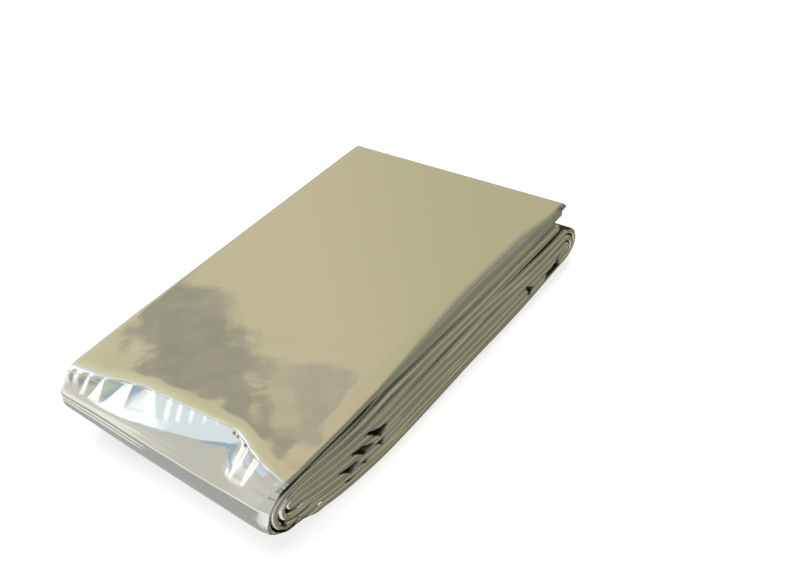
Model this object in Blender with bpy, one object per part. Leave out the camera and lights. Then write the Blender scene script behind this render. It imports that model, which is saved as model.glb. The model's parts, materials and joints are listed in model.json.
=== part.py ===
"""Emergency foil blanket, folded as it is packed.

A large sheet of thin metallised film is pleated lengthwise into a strip about 80 mm wide, and the
strip is folded back and forth into a flat packet of eight layers. The packet lies on the flat
middle of its underside. +X runs across it to the right, +Y along it from the front fold to the far
end, +Z up. The origin is on the surface it lies on, under the middle of the packet.

Lengths below are in millimetres and are scaled to metres where the mesh is made.
"""

import math
from collections import namedtuple

import bmesh
import bpy

MM = 0.001

# Driving sizes. Distances along the packet are measured from the middle of its top layer.
LAYERS = 8
STRIP_THICKNESS = 2.0
LAYER_GAP = 0.65
PITCH = STRIP_THICKNESS + LAYER_GAP
STACK_HEIGHT = LAYERS * STRIP_THICKNESS + (LAYERS - 1) * LAYER_GAP

FRONT_TIP = -63.2
FRONT_BEND = -53.2
FAR_TIP = 66.4
FAR_BEND = 59.6
PACKET_MIDDLE = (FRONT_TIP + FAR_TIP) / 2

# The underside is flat between these two places and rises beyond them.
REST_FRONT = -18.0
REST_FAR = 22.0
FRONT_RISE = 4.4
FRONT_RISE_POWER = 1.5
FAR_RISE = 3.2
FAR_RISE_POWER = 1.2

# Towards the far end the layers are pressed thinner than the room they have.
FAR_PRESS = 0.70
FAR_PRESS_START = 18.0
LOOSE_TOP_LAYERS = 2

# The stack is a little thinner along its two long sides, where the film rolls over.
SIDE_PINCH = 0.10
SIDE_PINCH_START = 0.80

# The long sides stand out from the front fold's width over this length.
BULGE_START = -56.0
BULGE_FULL = -22.0

SIDE_WAVE = 0.25
SIDE_WAVE_LENGTH = 34.0

# One row for each layer, from the top down: how far its two long sides stand from the middle, as
# at the front fold and with the bulge of the packet's waist, and the end of a layer that has one.
Layer = namedtuple("Layer", "front_side left_side right_side free_end")
LAYER_ROWS = {
    1: Layer(39.4, 40.4, 38.9, 62.5),
    2: Layer(38.8, 40.2, 39.4, 58.8),
    3: Layer(38.9, 40.3, 39.9, None),
    4: Layer(38.7, 40.6, 40.3, None),
    5: Layer(38.9, 40.8, 40.7, None),
    6: Layer(38.8, 40.5, 40.8, None),
    7: Layer(38.9, 40.3, 40.6, None),
    8: Layer(39.3, 39.9, 40.3, None),
}

# The order in which the strip passes through the layers, from its outer end to its inner end.
STRIP_ORDER = (1, 8, 3, 6, 5, 4, 7, 2)

# Dents in the layers' long sides, where the pleats gape: the layer, the place along the packet,
# the side (1 right, -1 left) and how deep the dent goes.
Dent = namedtuple("Dent", "layer along side depth")
DENT_ROWS = (
    Dent(6, -37.0, 1, 3.4),
    Dent(7, -39.5, 1, 1.6),
    Dent(5, -32.0, 1, 3.6),
    Dent(6, -32.0, 1, 1.4),
    Dent(4, -27.0, 1, 3.2),
    Dent(5, -27.0, 1, 1.4),
    Dent(6, 39.5, 1, 2.2),
    Dent(7, 52.5, 1, 2.6),
    Dent(5, -29.5, -1, 2.6),
    Dent(6, 34.0, -1, 2.4),
    Dent(4, -37.0, -1, 2.0),
    Dent(7, 8.0, -1, 1.8),
)

# Places along the packet that have a row of points, for the plain and the dented layers.
PLAIN_PLACES = (-47.0, -38.0, -28.0, -18.0, -6.0, 8.0, 22.0, 34.0, 45.0, 54.0)
DENTED_PLACES = (-47.0, -42.0, -39.5, -37.0, -34.5, -32.0, -29.5, -27.0, -24.5, -18.0,
                 -6.0, 8.0, 22.0, 34.0, 39.5, 45.0, 52.5, 56.0)
FIRST_DENTED_LAYER = 4

# Places across the strip, from its left side (-1) to its right (1), and how much of its thickness
# it has there.
Station = namedtuple("Station", "across thickness")
STATIONS = (
    Station(-1.0, 0.42),
    Station(-0.984, 0.80),
    Station(-0.94, 1.0),
    Station(-0.82, 1.0),
    Station(-0.45, 1.0),
    Station(0.0, 1.0),
    Station(0.45, 1.0),
    Station(0.82, 1.0),
    Station(0.94, 1.0),
    Station(0.984, 0.80),
    Station(1.0, 0.42),
)

# Steps round the outermost bends of the front and far folds, and round each bend inside them.
OUTER_BEND_STEPS = {(1, 8): 12, (8, 3): 10}
INNER_BEND_STEPS = 6

FILM_COLOUR = (0.62, 0.60, 0.50, 1.0)
FILM_ROUGHNESS = 0.22

# A point of the strip's middle line: its place along and above, half the strip's thickness there,
# and the two layers whose sides it lies between, with the share of the second.
PathPoint = namedtuple("PathPoint", "along height half layer next_layer share")


def remove_scene_objects():
    for item in list(bpy.data.objects):
        bpy.data.objects.remove(item, do_unlink=True)


def smooth_step(start, full, value):
    """0 at start, 1 at full, and an even S between."""
    share = min(max((value - start) / (full - start), 0.0), 1.0)
    return share * share * (3.0 - 2.0 * share)


def underside(along):
    """Height of the packet's underside above the surface."""
    if along < REST_FRONT:
        share = (REST_FRONT - along) / (REST_FRONT - FRONT_BEND)
        return FRONT_RISE * share ** FRONT_RISE_POWER
    if along > REST_FAR:
        share = (along - REST_FAR) / (FAR_BEND - REST_FAR)
        return FAR_RISE * share ** FAR_RISE_POWER
    return 0.0


def press(along):
    """How thin the layers are pressed there, as a share of their full thickness."""
    room = (STACK_HEIGHT - underside(along)) / STACK_HEIGHT
    pressed = 1.0 - (1.0 - FAR_PRESS) * smooth_step(FAR_PRESS_START, FAR_BEND, along)
    return min(room, pressed)


def layer_height(layer, along):
    """Height of the middle of a layer."""
    squeeze = press(along)
    if layer <= LOOSE_TOP_LAYERS:
        depth = STRIP_THICKNESS / 2 + (layer - 1) * PITCH
        return STACK_HEIGHT - squeeze * depth
    depth = STRIP_THICKNESS / 2 + (LAYERS - layer) * PITCH
    return underside(along) + squeeze * depth


def side_distance(layer, side, along):
    """Distance of a layer's long side from the packet's middle plane."""
    row = LAYER_ROWS[layer]
    full = row.right_side if side > 0 else row.left_side
    bulge = smooth_step(BULGE_START, BULGE_FULL, along)
    wave = SIDE_WAVE * math.sin(2 * math.pi * along / SIDE_WAVE_LENGTH + layer * (2 + side))
    distance = row.front_side + (full + wave - row.front_side) * bulge
    for dent in DENT_ROWS:
        if dent.layer == layer and dent.side == side and dent.along == along:
            distance -= dent.depth
    return distance


def layer_places(layer, start, end):
    """The row places of a layer between two ends, in the direction from start to end."""
    places = DENTED_PLACES if layer >= FIRST_DENTED_LAYER else PLAIN_PLACES
    inside = [place for place in places if min(start, end) < place < max(start, end)]
    return sorted(inside, reverse=end < start)


def run_points(layer, start, end):
    """Middle-line points of a layer's flat run between its two bends, without the bends."""
    points = []
    for along in layer_places(layer, start, end):
        half = press(along) * STRIP_THICKNESS / 2
        points.append(PathPoint(along, layer_height(layer, along), half, layer, layer, 0.0))
    return points


def bend_points(layer, next_layer, at_front):
    """Middle-line points round the bend that joins two layers, as half an ellipse."""
    centre, tip, outer_layer = (FRONT_BEND, FRONT_TIP, 1) if at_front else (
        FAR_BEND, FAR_TIP, LOOSE_TOP_LAYERS + 1)
    squeeze = press(centre)
    half = squeeze * STRIP_THICKNESS / 2
    first = layer_height(layer, centre)
    last = layer_height(next_layer, centre)
    if abs(next_layer - layer) == 1:
        reach = abs(first - last) / 2
    else:
        bends_outside = min(layer, next_layer) - outer_layer
        reach = abs(tip - centre) - half - bends_outside * PITCH * squeeze
    reach = math.copysign(reach, tip - centre)
    steps = OUTER_BEND_STEPS.get((layer, next_layer), INNER_BEND_STEPS)
    points = []
    for step in range(steps + 1):
        turn = math.pi * step / steps
        along = centre + reach * math.sin(turn)
        height = (first + last) / 2 + (first - last) / 2 * math.cos(turn)
        points.append(PathPoint(along, height, half, layer, next_layer, step / steps))
    return points


def end_point(layer):
    """The strip's own end in a layer that has one."""
    along = LAYER_ROWS[layer].free_end
    half = press(along) * STRIP_THICKNESS / 2
    return PathPoint(along, layer_height(layer, along), half, layer, layer, 0.0)


def strip_path():
    """The strip's middle line from one end to the other, forward and back through the layers."""
    path = [end_point(STRIP_ORDER[0])]
    for index, layer in enumerate(STRIP_ORDER):
        to_front = index % 2 == 0
        path += run_points(layer, path[-1].along, FRONT_BEND if to_front else FAR_BEND)
        if index + 1 < LAYERS:
            path += bend_points(layer, STRIP_ORDER[index + 1], to_front)
    path.append(end_point(STRIP_ORDER[-1]))
    return path


def path_normals(path):
    """Unit normals of the middle line, in the along and up directions."""
    normals = []
    for index in range(len(path)):
        before = path[max(index - 1, 0)]
        after = path[min(index + 1, len(path) - 1)]
        along = after.along - before.along
        up = after.height - before.height
        length = math.hypot(along, up)
        normals.append((-up / length, along / length))
    return normals


def pinched(height, along, across):
    """Height once the stack is drawn thinner at its long sides."""
    share = max(abs(across) - SIDE_PINCH_START, 0.0) / (1.0 - SIDE_PINCH_START)
    between_bends = min(max(along, FRONT_BEND), FAR_BEND)
    middle = (STACK_HEIGHT + underside(between_bends)) / 2
    return middle + (height - middle) * (1.0 - SIDE_PINCH * share * share)


def strip_point(point, normal, station, face):
    """A point of the strip's skin: face is 1 or -1, on one or the other side of the middle line."""
    side = 1 if station.across > 0 else -1
    near = side_distance(point.layer, side, point.along)
    far = side_distance(point.next_layer, side, point.along)
    distance = near + (far - near) * point.share
    offset = face * point.half * station.thickness
    along = point.along + offset * normal[0]
    height = pinched(point.height + offset * normal[1], point.along, station.across)
    return (station.across * distance * MM, (along - PACKET_MIDDLE) * MM, height * MM)


def film_material():
    material = bpy.data.materials.new("metallised_film")
    material.use_nodes = True
    shader = material.node_tree.nodes["Principled BSDF"]
    shader.inputs["Base Color"].default_value = FILM_COLOUR
    shader.inputs["Metallic"].default_value = 1.0
    shader.inputs["Roughness"].default_value = FILM_ROUGHNESS
    return material


def foil_blanket():
    """The folded strip as one closed solid."""
    path = strip_path()
    normals = path_normals(path)
    mesh = bmesh.new()
    rows = []
    for point, normal in zip(path, normals):
        upper = [mesh.verts.new(strip_point(point, normal, station, 1)) for station in STATIONS]
        lower = [mesh.verts.new(strip_point(point, normal, station, -1)) for station in STATIONS]
        rows.append(upper + lower[::-1])
    ring = len(rows[0])
    for row, next_row in zip(rows, rows[1:]):
        for place in range(ring):
            beside = (place + 1) % ring
            mesh.faces.new((row[place], row[beside], next_row[beside], next_row[place]))
    for row in (rows[0], rows[-1]):
        for place in range(len(STATIONS) - 1):
            opposite = ring - 1 - place
            mesh.faces.new((row[place], row[place + 1], row[opposite - 1], row[opposite]))
    bmesh.ops.recalc_face_normals(mesh, faces=mesh.faces)
    data = bpy.data.meshes.new("foil_blanket")
    mesh.to_mesh(data)
    mesh.free()
    data.materials.append(film_material())
    blanket = bpy.data.objects.new("foil_blanket", data)
    bpy.context.collection.objects.link(blanket)


remove_scene_objects()
foil_blanket()
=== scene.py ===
import json
import math
from collections import namedtuple

import bpy
import numpy as np
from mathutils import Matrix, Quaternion, Vector

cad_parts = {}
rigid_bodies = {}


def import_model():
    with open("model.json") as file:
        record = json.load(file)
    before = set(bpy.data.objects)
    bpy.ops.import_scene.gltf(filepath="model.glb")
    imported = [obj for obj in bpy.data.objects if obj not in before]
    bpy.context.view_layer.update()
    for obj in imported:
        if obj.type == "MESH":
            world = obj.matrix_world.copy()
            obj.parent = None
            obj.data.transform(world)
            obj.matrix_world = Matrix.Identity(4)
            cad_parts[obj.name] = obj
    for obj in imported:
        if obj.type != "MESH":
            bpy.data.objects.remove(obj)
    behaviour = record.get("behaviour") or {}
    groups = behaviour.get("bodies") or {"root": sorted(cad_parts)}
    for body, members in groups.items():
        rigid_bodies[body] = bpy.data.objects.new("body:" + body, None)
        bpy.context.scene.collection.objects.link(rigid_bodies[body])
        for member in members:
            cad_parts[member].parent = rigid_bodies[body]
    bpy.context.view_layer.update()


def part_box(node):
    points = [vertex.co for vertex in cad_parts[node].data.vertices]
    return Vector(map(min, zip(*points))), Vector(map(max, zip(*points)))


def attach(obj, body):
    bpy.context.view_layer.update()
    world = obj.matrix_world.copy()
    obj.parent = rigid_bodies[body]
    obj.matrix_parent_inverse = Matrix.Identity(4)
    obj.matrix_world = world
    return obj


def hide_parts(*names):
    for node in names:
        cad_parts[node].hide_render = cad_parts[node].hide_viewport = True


for startup_object in list(bpy.data.objects):
    bpy.data.objects.remove(startup_object, do_unlink=True)

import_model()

# The folded strip: the sheet of metallised polyester film, pleated lengthwise into a strip of many
# plies and then folded back and forth into eight layers. Its long sides are the pleats' own folds,
# which lie unevenly and gape in places.
MM = 0.001
packed_low, packed_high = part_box("foil_blanket")
STACK_HEIGHT = (packed_high[2] - packed_low[2]) / MM
# Places along the packet count from a line this far in front of the frame's origin.
PACKET_MIDDLE = 1.6
FAR_TIP = packed_high[1] / MM + PACKET_MIDDLE
LAYERS = 8
TOP_ROOM = 0.32
FLOOR_ROOM = 0.12
PITCH = (STACK_HEIGHT - TOP_ROOM - FLOOR_ROOM) / LAYERS
HALF_LAYER = PITCH * 0.47
# Where the outer bends start, and how the stack narrows into the front one.
FRONT_BEND = -46.0
FRONT_TAPER = 15.6
FRONT_FULLNESS = 0.84
FAR_BEND = 59.6
FAR_FILM_ROOM = 0.9
# The underside rests between these two places and rises beyond them.
REST_FRONT = -18.0
REST_FAR = 22.0
RISE_END = -53.2
FRONT_RISE = 4.4
FRONT_RISE_POWER = 5.5
FAR_RISE = 1.7
FAR_RISE_POWER = 1.2
# The layers are pressed together towards the far end, and along both long sides.
FAR_PRESS = 0.72
FAR_PRESS_START = 14.0
LOOSE_TOP_LAYERS = 2
SIDE_PINCH = 0.10
SIDE_PINCH_START = 0.80
HALF_WIDTH = 40.0
LOWER_PINCH = 0.3
# The order in which the strip runs through the layers, counted from the top one.
STRIP_ORDER = (1, 8, 3, 6, 5, 4, 7, 2)

# How far each layer reaches at the front, on the left and on the right, and where a loose end lies.
Layer = namedtuple("Layer", "front_side left_side right_side free_end")
LAYER_ROWS = {
    1: Layer(37.8, 39.6, 38.9, 61.4),
    2: Layer(38.0, 40.2, 39.6, 58.8),
    3: Layer(38.3, 40.3, 40.2, None),
    4: Layer(38.3, 40.6, 40.6, None),
    5: Layer(38.5, 40.8, 40.9, None),
    6: Layer(38.5, 40.5, 41.0, None),
    7: Layer(38.1, 40.3, 40.8, None),
    8: Layer(37.8, 39.7, 40.0, None),
}
# Where each bend starts along the packet and how far its middle reaches past that place.
Bend = namedtuple("Bend", "start reach")
BEND_ROWS = {
    (1, 8): Bend(FRONT_BEND, 15.8),
    (7, 2): Bend(-47.5, 11.9),
    (3, 6): Bend(-50.0, 7.3),
    (5, 4): Bend(-52.0, 3.0),
    (8, 3): Bend(FAR_BEND, FAR_TIP - FAR_BEND - FAR_FILM_ROOM),
    (4, 7): Bend(FAR_BEND, 3.3),
    (6, 5): Bend(FAR_BEND, 0.8),
}
# Pockets where the pleats gape on a long side, as triangles seen from that side: three corners,
# each its place along and its drop below the top, and how deep the pocket goes in.
Pocket = namedtuple("Pocket", "side depth first second third")
POCKET_ROWS = (
    Pocket(1, 2.4, (-30.0, -8.1), (-22.6, -9.9), (-26.2, -11.5)),
    Pocket(1, 2.4, (-35.6, -9.5), (-28.4, -11.3), (-31.9, -12.9)),
    Pocket(1, 2.4, (-40.6, -11.6), (-33.8, -13.3), (-36.9, -14.9)),
    Pocket(1, 1.5, (-28.2, -12.3), (-25.3, -12.9), (-26.7, -14.2)),
    Pocket(1, 1.5, (-33.8, -14.2), (-30.8, -14.7), (-32.2, -15.9)),
    Pocket(1, 1.5, (-39.4, -15.8), (-36.2, -16.5), (-37.9, -17.4)),
    Pocket(1, 1.4, (-58.8, -11.3), (-56.7, -11.1), (-57.5, -13.3)),
    Pocket(1, 0.9, (-56.3, -14.4), (-53.7, -13.9), (-55.0, -15.7)),
    Pocket(1, 1.8, (38.0, -12.2), (42.0, -15.0), (39.0, -16.0)),
    Pocket(1, 1.8, (46.4, -16.2), (56.4, -13.1), (54.8, -16.0)),
    Pocket(-1, 3.0, (-35.0, -9.0), (-29.5, -10.6), (-31.8, -11.6)),
    Pocket(-1, 2.5, (28.0, -13.2), (33.6, -14.2), (31.0, -15.4)),
    Pocket(-1, 3.0, (-41.0, -12.6), (-36.0, -13.6), (-38.4, -14.8)),
)
POCKET_SOFTNESS = 0.30
# Steps between rows of points, finer where the long sides gape.
RUN_STEP = 1.1
FINE_STEP = 0.34
BEND_STEP = 0.4
GAPING_STRETCHES = ((-43.0, -21.0), (36.0, 57.0))
FEWEST_BEND_ROWS = 12
PLEATS = 2
PLEAT_DEPTH = 0.16
FACE_PLACES = np.array([-1.0, -0.97, -0.88, -0.6, -0.2, 0.2, 0.6, 0.88, 0.97, 1.0])
EDGE_STEPS = 15
EDGE_POWER = 2.5
EDGE_INSET = 0.5
# Uneven waves in millimetres: of the long sides, and of the pleats' creases and folds.
Wave = namedtuple("Wave", "depth length seed")
SIDE_WAVE = Wave(0.26, 30.0, 11)
PLEAT_DRIFT = Wave(0.35, 60.0, 23)
PLEAT_STAGGER = Wave(0.2, 26.0, 31)
PLEAT_OPENING = Wave(0.5, 22.0, 37)
NARROW_FRONT = (-56.0, -22.0)

# The outer film's line over the front, one row for each place across: the shoulder where the top
# ends, the crease that the darts start from, the darts' tips, the break above the steep facet, and
# the ridge; each along, some with a drop below the top.
FrontLine = namedtuple("FrontLine", "across shoulder crease crease_drop tip break_along break_drop "
                                    "ridge ridge_drop")
FRONT_LINES = [FrontLine(*row) for row in (
    (-40.0, -56.9, -58.9, 1.00, -61.3, -62.1, 4.4, -62.5, 5.1),
    (-35.0, -56.3, -58.1, 0.75, -61.1, -61.8, 4.1, -62.4, 4.9),
    (-30.0, -55.5, -56.8, 0.45, -60.9, -61.6, 3.8, -62.3, 4.8),
    (-25.0, -54.4, -55.2, 0.28, -60.5, -61.3, 3.5, -62.2, 4.7),
    (-20.5, -52.9, -53.4, 0.16, -59.9, -61.0, 3.2, -62.2, 4.7),
    (-15.0, -51.7, -52.1, 0.12, -58.9, -60.7, 2.9, -62.2, 4.7),
    (-9.0, -51.1, -51.5, 0.12, -57.6, -60.2, 2.55, -62.2, 4.8),
    (-3.4, -50.8, -51.3, 0.12, -56.7, -59.4, 2.25, -62.1, 4.8),
    (0.0, -50.5, -51.0, 0.12, -55.9, -58.8, 2.1, -62.1, 4.9),
    (6.0, -50.1, -50.6, 0.12, -54.1, -57.4, 1.8, -62.0, 4.9),
    (12.0, -49.6, -50.1, 0.12, -52.7, -55.8, 1.5, -61.9, 5.0),
    (17.5, -49.3, -49.8, 0.12, -52.4, -53.6, 1.1, -61.7, 5.1),
    (21.0, -50.4, -50.9, 0.14, -56.0, -52.6, 0.9, -61.6, 5.2),
    (24.5, -51.8, -52.3, 0.14, -59.0, -54.4, 1.1, -61.5, 5.2),
    (30.0, -53.6, -54.1, 0.14, -59.3, -56.0, 1.1, -61.4, 5.0),
    (36.0, -54.8, -55.3, 0.14, -59.0, -57.0, 1.1, -61.4, 4.9),
    (40.0, -55.6, -56.1, 0.14, -59.0, -57.6, 1.1, -61.4, 4.8),
)]
# Below the ridge: drop below the top and place along.
FRONT_FACE_DROPS = (4.6, 9.6, 12.4, 15.0, 16.15)
FRONT_FACE_PLACES = (-62.2, -63.3, -61.9, -58.4, -53.2)
FRONT_SOFTNESS = 1.2


def front_line(name, across):
    """One column of the front table at the given places across, softened between its rows."""
    places = [line.across for line in FRONT_LINES]
    values = [getattr(line, name) for line in FRONT_LINES]
    reach = np.linspace(-FRONT_SOFTNESS, FRONT_SOFTNESS, 7)
    return sum(np.interp(across + shift, places, values) for shift in reach) / len(reach)


def front_drop(across, along):
    """How far the outer film lies below the top, from the shoulder to the ridge."""
    shoulder_line = front_line("shoulder", across)
    stops = [(shoulder_line, 0.0)]
    for place, drop in (("crease", "crease_drop"), ("break_along", "break_drop"), ("ridge", "ridge_drop")):
        stops.append((front_line(place, across), front_line(drop, across)))
    total = np.zeros(np.broadcast(across, along).shape)
    for (start, drop), (end, next_drop) in zip(stops, stops[1:]):
        total += (next_drop - drop) * np.clip((start - along) / (start - end), 0.0, 1.0)
    return total


def film_ripple(wave, first, second, other_seed=0):
    """Uneven waves over two coordinates, of about the wave's length and up to its depth."""
    draw = np.random.default_rng(wave.seed + other_seed)
    parts = 7
    total = np.zeros(np.broadcast(first, second).shape)
    for turn, stretch, phase in zip(draw.uniform(0, 2 * np.pi, parts), draw.uniform(0.7, 1.6, parts),
                                    draw.uniform(0, 2 * np.pi, parts)):
        along_wave = first * np.cos(turn) + second * np.sin(turn)
        total += np.sin(2 * np.pi * along_wave / (wave.length * stretch) + phase)
    return wave.depth * (total / parts * 1.6)


def smooth_step(start, full, value):
    """A share that grows softly from none at the start to one where it is full."""
    share = np.clip((value - start) / (full - start), 0.0, 1.0)
    return share * share * (3.0 - 2.0 * share)


def underside(along):
    """Height of the packet's underside above the surface."""
    front = np.clip((REST_FRONT - along) / (REST_FRONT - RISE_END), 0.0, 1.0)
    far = np.clip((along - REST_FAR) / (FAR_BEND - REST_FAR), 0.0, 1.0)
    return FRONT_RISE * front ** FRONT_RISE_POWER + FAR_RISE * far ** FAR_RISE_POWER


def front_taper(along):
    """How much of the stack's height is left inside the rounded front fold."""
    past = np.clip((FRONT_BEND - along) / FRONT_TAPER, 0.0, 0.97)
    return np.sqrt(1.0 - past * past)


def press(along):
    """How close the layers lie, as a share of their full pitch."""
    room = (STACK_HEIGHT - underside(along)) / STACK_HEIGHT
    pressed = 1.0 - (1.0 - FAR_PRESS) * smooth_step(FAR_PRESS_START, FAR_BEND, along)
    return np.minimum(room, pressed)


def layer_height(layer, along):
    """Height of a layer's middle: the loose ones hang from the top, the others lie on the underside."""
    middle = (STACK_HEIGHT + underside(along)) / 2
    if layer <= LOOSE_TOP_LAYERS:
        height = STACK_HEIGHT - press(along) * (TOP_ROOM + (layer - 0.5) * PITCH)
    else:
        height = underside(along) + press(along) * (FLOOR_ROOM + (LAYERS - layer + 0.5) * PITCH)
    return middle + (height - middle) * front_taper(along)


def half_layer(along):
    return press(along) * front_taper(along) * HALF_LAYER


def run_places(start, end):
    """Places along one layer, closer together where the long sides gape."""
    places = [start]
    turn = math.copysign(1.0, end - start)
    while (end - places[-1]) * turn > 0:
        gaping = any(low < places[-1] < high for low, high in GAPING_STRETCHES)
        places.append(places[-1] + turn * (FINE_STEP if gaping else RUN_STEP))
    return places[:-1]


def strip_path():
    """Rows of the strip's middle line: along, height, half thickness, the layer, the next, share."""
    rows = []
    along = LAYER_ROWS[STRIP_ORDER[0]].free_end
    for index, layer in enumerate(STRIP_ORDER):
        last_layer = index + 1 == LAYERS
        next_layer = layer if last_layer else STRIP_ORDER[index + 1]
        end = LAYER_ROWS[layer].free_end if last_layer else BEND_ROWS[layer, next_layer].start
        for place in run_places(along, end):
            rows.append((place, layer_height(layer, place), half_layer(place), layer, layer, 0.0))
        if not last_layer:
            first, last = layer_height(layer, end), layer_height(next_layer, end)
            reach = math.copysign(BEND_ROWS[layer, next_layer].reach, 1 if index % 2 else -1)
            fullness = 1.0 if index % 2 else FRONT_FULLNESS
            steps = max(round((abs(first - last) + abs(reach)) * 1.3 / BEND_STEP), FEWEST_BEND_ROWS)
            for share in np.linspace(0.0, 1.0, steps, endpoint=False):
                lift = math.cos(math.pi * share)
                rows.append((end + reach * math.sin(math.pi * share) ** fullness,
                             (first + last) / 2
                             + (first - last) / 2 * math.copysign(abs(lift) ** fullness, lift),
                             half_layer(end), layer, next_layer, share))
            along = end
    return np.array(rows)


def layer_sides(path, side):
    """Distance of the strip's long side from the middle plane, for each row of the path."""
    name = "right_side" if side > 0 else "left_side"
    along = path[:, 0]
    distances = []
    for layers in (path[:, 3], path[:, 4]):
        front = np.array([LAYER_ROWS[int(layer)].front_side for layer in layers])
        full = np.array([getattr(LAYER_ROWS[int(layer)], name) for layer in layers])
        wave = film_ripple(SIDE_WAVE, along, layers * 37.0, side)
        distances.append(front + (full + wave - front) * smooth_step(*NARROW_FRONT, along))
    return distances[0] + (distances[1] - distances[0]) * path[:, 5]


def pocket_inside(along, drop, corners):
    """Distance into a pocket's triangle from its nearest side, negative outside."""
    (a, b), (c, d), (e, f) = corners
    turn = math.copysign(1.0, (c - a) * (f - b) - (d - b) * (e - a))
    inside = np.full(np.broadcast(along, drop).shape, np.inf)
    for (x0, y0), (x1, y1) in zip(corners, corners[1:] + corners[:1]):
        length = math.hypot(x1 - x0, y1 - y0)
        side_distance = turn * ((x1 - x0) * (drop - y0) - (y1 - y0) * (along - x0)) / length
        inside = np.minimum(inside, side_distance)
    return inside


# Under the outer film's right side the top layer lies lower near the front, which leaves a gap.
GAP_PLACES = (-62.0, -54.0, -40.0, -28.0, -19.0)
GAP_DEPTHS = (0.2, 1.1, 1.8, 1.3, 0.0)
# How far below the top the painted shade in the gap reaches, at each place.
GAP_SHADE_FLOORS = (-4.0, -4.3, -3.3, -3.2, -1.6)
GAP_SIDE = (30.0, 38.0)
# At its left end the lower part of the front fold lies higher.
LEFT_LIFT = 1.4
LIFT_SIDE = -8.0
LIFT_SIDE_REACH = 32.0
LIFT_FRONT = (-40.0, -54.0)
LIFTED_PART = 0.62
LIFT_FADE = 0.35


def settled(height, along, across):
    """Heights pressed together along both long sides and lowered under the film at the right."""
    share = np.clip((np.abs(across) / HALF_WIDTH - SIDE_PINCH_START) / (1.0 - SIDE_PINCH_START), 0.0, 1.1)
    middle = (STACK_HEIGHT + underside(along)) / 2
    pinch = SIDE_PINCH * np.where(height < middle, LOWER_PINCH, 1.0)
    height = middle + (height - middle) * (1.0 - pinch * share * share)
    upper_share = np.clip((height - middle) / (STACK_HEIGHT - middle), 0.0, 1.0)
    gap = np.interp(along, GAP_PLACES, GAP_DEPTHS) * smooth_step(*GAP_SIDE, across)
    return height - gap * upper_share + left_lift(along, height, across)


def left_lift(along, height, across):
    """How much higher the front fold lies at its left end."""
    lower_share = np.clip(1.0 - height / (STACK_HEIGHT * LIFTED_PART), 0.0, 1.0)
    lifted = np.clip((LIFT_SIDE - across) / LIFT_SIDE_REACH, 0.0, 1.0) * smooth_step(*LIFT_FRONT, along)
    return LEFT_LIFT * lifted * smooth_step(0.0, LIFT_FADE, lower_share)


path = strip_path()
run_direction = np.gradient(path[:, :2], axis=0)
run_direction /= np.linalg.norm(run_direction, axis=1, keepdims=True)
run_normal = np.stack([-run_direction[:, 1], run_direction[:, 0]], 1)
run_steps = np.linalg.norm(np.diff(path[:, :2], axis=0), axis=1)
run_length = np.concatenate([[0.0], np.cumsum(run_steps)])
half = path[:, 2:3]
levels = np.linspace(1.0, -1.0, EDGE_STEPS + 2)[1:-1]

# Painted shade, where film lies deep between other film: the pockets and their rims, the lines
# between layers, the gap under the outer film, and a line round the outside of both outer bends.
LAYER_LINE_SHADE = (0.93, 1.0)
POCKET_RIM_SHADE = (-0.25, 0.10)
GAP_SHADE = (-0.25, 0.1)
BEND_EDGE_SHADE = (0.42, 0.80)
ShadedBend = namedtuple("ShadedBend", "layer next_layer start end")
SHADED_BENDS = (ShadedBend(1, 8, 0.0, 0.7), ShadedBend(8, 3, 0.45, 0.9))


def strip_edge(side, levels):
    """Points of one long side: the pleats' rounded folds with creases between them, and pockets."""
    roundness = (1.0 - np.abs(levels) ** EDGE_POWER) ** (1 / EDGE_POWER)
    drift = film_ripple(PLEAT_DRIFT, run_length[:, None], 0.0 * levels[None], side)
    pleat = PLEATS * (levels[None] + 1) / 2 + drift
    opened = 0.5 + film_ripple(PLEAT_OPENING, run_length[:, None], 9.0 * np.round(pleat), side)
    crease = PLEAT_DEPTH * np.clip(opened, 0.1, 1.0) * (1.0 - np.abs(np.sin(np.pi * pleat)) ** 0.6)
    stagger = film_ripple(PLEAT_STAGGER, run_length[:, None], 9.0 * np.floor(pleat), side)
    distance = layer_sides(path, side)[:, None] + half * (roundness[None] - 1.0) - crease
    distance += stagger * roundness[None]
    offset = half * levels[None]
    along = path[:, :1] + offset * run_normal[:, :1]
    drop = settled(path[:, 1:2] + offset * run_normal[:, 1:], along, side * distance) - STACK_HEIGHT
    pockets, rim_shade = np.zeros_like(distance), np.zeros_like(distance)
    for pocket in POCKET_ROWS:
        if pocket.side == side:
            inside = pocket_inside(along, drop, (pocket.first, pocket.second, pocket.third))
            pockets = np.maximum(pockets, pocket.depth * smooth_step(0.0, POCKET_SOFTNESS, inside))
            rim_shade = np.maximum(rim_shade, smooth_step(*POCKET_RIM_SHADE, inside))
    # Painted shade on the pockets' rims and on the lines between layers.
    painted_shading = np.maximum(rim_shade, smooth_step(*LAYER_LINE_SHADE, np.abs(levels))[None])
    if side > 0:
        # On the right, painted shade in the gap under the outer film, and a painted shadow line round the
        # outer bends.
        gap_shade_floor = np.interp(along, GAP_PLACES, GAP_SHADE_FLOORS)
        in_gap = (along > GAP_PLACES[0]) & (along < GAP_PLACES[-1])
        painted_shading = np.maximum(painted_shading, in_gap * smooth_step(*GAP_SHADE, drop - gap_shade_floor))
        for shaded_bend in SHADED_BENDS:
            turning = (path[:, 3] == shaded_bend.layer) & (path[:, 4] == shaded_bend.next_layer)
            turning = turning & (path[:, 5] > shaded_bend.start) & (path[:, 5] < shaded_bend.end)
            painted_shading = np.maximum(painted_shading, turning[:, None] * smooth_step(*BEND_EDGE_SHADE, -levels)[None])
    return side * (distance - pockets), offset, painted_shading


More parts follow.
